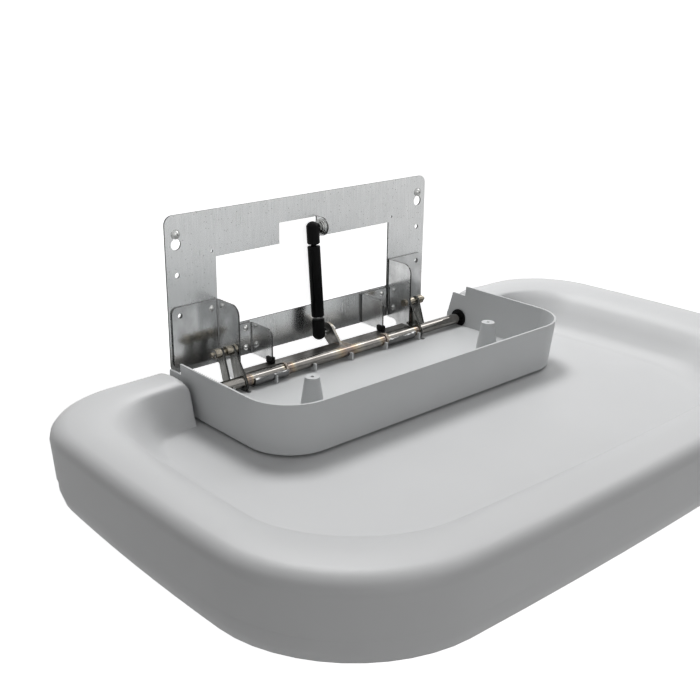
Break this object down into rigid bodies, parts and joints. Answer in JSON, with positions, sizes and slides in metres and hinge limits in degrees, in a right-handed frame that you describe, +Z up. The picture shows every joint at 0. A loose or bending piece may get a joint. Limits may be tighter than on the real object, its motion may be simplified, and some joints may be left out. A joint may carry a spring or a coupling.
{
  "type": "baby changing station",
  "caption": "Wall-hung fold-down baby changing station, shown open: steel wall plate, hinge tube in a grey plastic tray, gas strut and a shallow moulded bed.",
  "frame": {"origin": "centre of the four bolt holes, at the wall plate's back face", "axes": "+X to the right along the wall, +Y into the wall, +Z up; the bed lies towards -Y"},
  "size_m": [0.932, 0.5979, 0.2766],
  "materials": {
    "zinc_sheet": "galvanised sheet with vertical streaks",
    "bracket_sheet": "darker mottled zinc",
    "bright_zinc": "bright zinc-plated fasteners",
    "steel": "polished steel with heat tint at the welds",
    "weld": "rough weld metal",
    "black_strut": "satin black",
    "black_plastic": "matt black plastic",
    "black_rubber": "matt black rubber",
    "tray_plastic": "fine matt light grey plastic",
    "bed_plastic": "fine grained light grey plastic"
  },
  "bodies": {
    "wall_frame": {"wall_plate": "zinc_sheet", "hinge_bracket_left": "bracket_sheet", "hinge_bracket_right": "bracket_sheet", "stop_bracket_left": "bracket_sheet", "stop_bracket_right": "bracket_sheet", "bracket_rivets": "bright_zinc", "wall_screws": "bright_zinc", "arm_left_outer": "steel", "arm_left_inner": "steel", "arm_right_inner": "steel", "arm_right_outer": "steel", "pin_left": "bright_zinc", "pin_right": "bright_zinc", "pin_collars": "bright_zinc", "pin_washers": "bright_zinc", "pin_clips": "bracket_sheet", "arm_welds": "bracket_sheet", "stop_pads": "black_rubber", "upper_ball_stud": "bright_zinc", "upper_stud_washers": "bright_zinc", "upper_stud_nut": "bright_zinc"},
    "bed": {"hinge_tube": "steel", "tube_sleeve_left": "steel", "tube_sleeve_right": "steel", "stop_bar": "bracket_sheet", "crank_lever": "steel", "lower_stud_nut": "bright_zinc", "weld_beads": "weld", "tube_bush_left": "black_plastic", "tube_bush_right": "black_plastic", "hinge_tray": "tray_plastic", "tray_screws": "bright_zinc", "bed_top_shell": "bed_plastic", "bed_bottom_shell": "bed_plastic", "shell_screws": "bright_zinc"},
    "strut_tube": {"strut_cylinder": "black_strut", "strut_guide": "black_plastic", "upper_socket": "black_plastic"},
    "strut_stem": {"strut_rod": "bright_zinc", "strut_piston": "steel", "lower_socket": "black_plastic", "lower_ball_stud": "bright_zinc"}
  },
  "joints": [
    {"name": "bed_fold", "type": "hinge", "parent": "wall_frame", "child": "bed", "pos_m": [0, -0.0632, -0.1128], "axis": [-1, 0, 0], "range_deg": [0, 90]},
    {"name": "strut_swing", "type": "hinge", "parent": "wall_frame", "child": "strut_tube", "pos_m": [0, -0.0121, 0.0576], "axis": [-1, 0, 0], "range_deg": [0, 2.5]},
    {"name": "strut_slide", "type": "slide", "parent": "strut_tube", "child": "strut_stem", "axis": [0, -0.0907, -0.9959], "range_m": [0, 0.0602]}
  ],
  "couplings": [
    {"joint": "strut_swing", "follows": "bed_fold", "ratio": 0.026667},
    {"joint": "strut_slide", "follows": "bed_fold", "m_per_rad": 0.038229}
  ]
}
